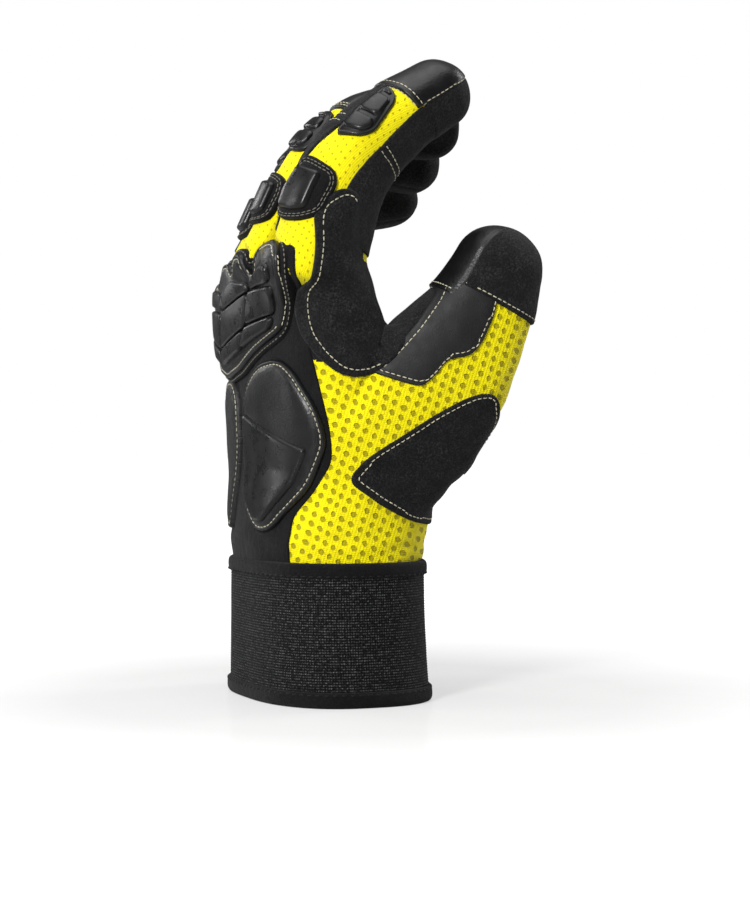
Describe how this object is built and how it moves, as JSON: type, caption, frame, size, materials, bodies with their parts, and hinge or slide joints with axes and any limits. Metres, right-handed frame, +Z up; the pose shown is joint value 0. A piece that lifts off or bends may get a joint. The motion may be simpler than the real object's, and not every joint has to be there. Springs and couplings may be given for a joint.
{
  "type": "padded work glove",
  "caption": "Left-hand padded work glove standing on its open elastic cuff, with mesh back, suede palm, moulded guards and bending thumb and fingers.",
  "frame": {"origin": "centre of the glove's own box, on the surface its cuff stands on", "axes": "+Z up through the cuff towards the fingers, +X the way the palm faces, -X the back of the hand, -Y the thumb side"},
  "size_m": [0.097, 0.1138, 0.2227],
  "materials": {
    "mesh": "matte",
    "suede": "matte",
    "leather": "satin",
    "rubber": "satin",
    "elastic": "matte"
  },
  "bodies": {
    "hand": {"cuff_hem": "elastic", "cuff_band": "elastic", "cuff_top_binding": "elastic", "palm_panel": "suede", "hand_back_mesh": "mesh", "back_panel": "suede", "kite_pad": "leather", "kite_pad_insert": "rubber", "side_pad": "leather", "knuckle_guard": "leather", "knuckle_guard_rubber": "rubber", "thumb_saddle_patch": "suede", "thenar_patch": "suede", "thumb_root_fold": "suede", "index_root_fold": "suede", "middle_root_fold": "suede", "ring_root_fold": "suede", "little_root_fold": "suede"},
    "index_base": {"index_proximal_mesh": "mesh", "index_proximal_palm": "suede", "index_middle_fold": "mesh", "index_knuckle_pad": "leather", "index_knuckle_block": "rubber"},
    "index_end": {"index_distal_mesh": "mesh", "index_distal_palm": "suede", "index_cap": "leather", "index_tip_pad": "rubber"},
    "middle_base": {"middle_proximal_mesh": "mesh", "middle_proximal_palm": "suede", "middle_middle_fold": "mesh", "middle_knuckle_pad": "leather", "middle_knuckle_block": "rubber"},
    "middle_end": {"middle_distal_mesh": "mesh", "middle_distal_palm": "suede", "middle_cap": "leather", "middle_tip_pad": "rubber"},
    "ring_base": {"ring_proximal_mesh": "mesh", "ring_proximal_palm": "suede", "ring_middle_fold": "mesh", "ring_knuckle_pad": "leather", "ring_knuckle_block": "rubber"},
    "ring_end": {"ring_distal_mesh": "mesh", "ring_distal_palm": "suede", "ring_cap": "leather", "ring_tip_pad": "rubber"},
    "little_base": {"little_proximal_mesh": "mesh", "little_proximal_palm": "suede", "little_middle_fold": "mesh", "little_knuckle_pad": "leather", "little_knuckle_block": "rubber"},
    "little_end": {"little_distal_mesh": "mesh", "little_distal_palm": "suede", "little_cap": "leather", "little_tip_pad": "rubber"},
    "thumb_base": {"thumb_proximal_mesh": "mesh", "thumb_proximal_palm": "suede", "thumb_middle_fold": "suede"},
    "thumb_end": {"thumb_cap": "leather"}
  },
  "joints": [
    {"name": "index_root_bend", "type": "hinge", "parent": "hand", "child": "index_base", "pos_m": [-0.02321, -0.03, 0.1554], "axis": [0, 1, 0], "range_deg": [-10, 18], "stiffness_Nm_per_rad": 0.3, "deforming": ["index_root_fold"]},
    {"name": "index_middle_bend", "type": "hinge", "parent": "index_base", "child": "index_end", "pos_m": [-0.01471, -0.03, 0.1819], "axis": [0, 1, 0], "range_deg": [-15, 26], "stiffness_Nm_per_rad": 0.15, "deforming": ["index_middle_fold"]},
    {"name": "middle_root_bend", "type": "hinge", "parent": "hand", "child": "middle_base", "pos_m": [-0.02621, -0.0052, 0.1594], "axis": [0, 1, 0], "range_deg": [-10, 40], "stiffness_Nm_per_rad": 0.3, "deforming": ["middle_root_fold"]},
    {"name": "middle_middle_bend", "type": "hinge", "parent": "middle_base", "child": "middle_end", "pos_m": [-0.01271, -0.0052, 0.1874], "axis": [0, 1, 0], "range_deg": [-15, 45], "stiffness_Nm_per_rad": 0.15, "deforming": ["middle_middle_fold"]},
    {"name": "ring_root_bend", "type": "hinge", "parent": "hand", "child": "ring_base", "pos_m": [-0.02221, 0.0196, 0.1569], "axis": [0, 1, 0], "range_deg": [-10, 40], "stiffness_Nm_per_rad": 0.3, "deforming": ["ring_root_fold"]},
    {"name": "ring_middle_bend", "type": "hinge", "parent": "ring_base", "child": "ring_end", "pos_m": [-0.00971, 0.0196, 0.1834], "axis": [0, 1, 0], "range_deg": [-15, 45], "stiffness_Nm_per_rad": 0.15, "deforming": ["ring_middle_fold"]},
    {"name": "little_root_bend", "type": "hinge", "parent": "hand", "child": "little_base", "pos_m": [-0.01671, 0.0437, 0.1504], "axis": [0, 1, 0], "range_deg": [-10, 40], "stiffness_Nm_per_rad": 0.3, "deforming": ["little_root_fold"]},
    {"name": "little_middle_bend", "type": "hinge", "parent": "little_base", "child": "little_end", "pos_m": [-0.00471, 0.0437, 0.1704], "axis": [0, 1, 0], "range_deg": [-15, 45], "stiffness_Nm_per_rad": 0.15, "deforming": ["little_middle_fold"]},
    {"name": "thumb_root_bend", "type": "hinge", "parent": "hand", "child": "thumb_base", "pos_m": [0.01529, -0.0362, 0.1179], "axis": [0, -1, 0], "range_deg": [-15, 8], "stiffness_Nm_per_rad": 0.3, "deforming": ["thumb_root_fold"]},
    {"name": "thumb_middle_bend", "type": "hinge", "parent": "thumb_base", "child": "thumb_end", "pos_m": [0.02729, -0.0412, 0.1359], "axis": [0, -1, 0], "range_deg": [-10, 12], "stiffness_Nm_per_rad": 0.15, "deforming": ["thumb_middle_fold"]}
  ]
}
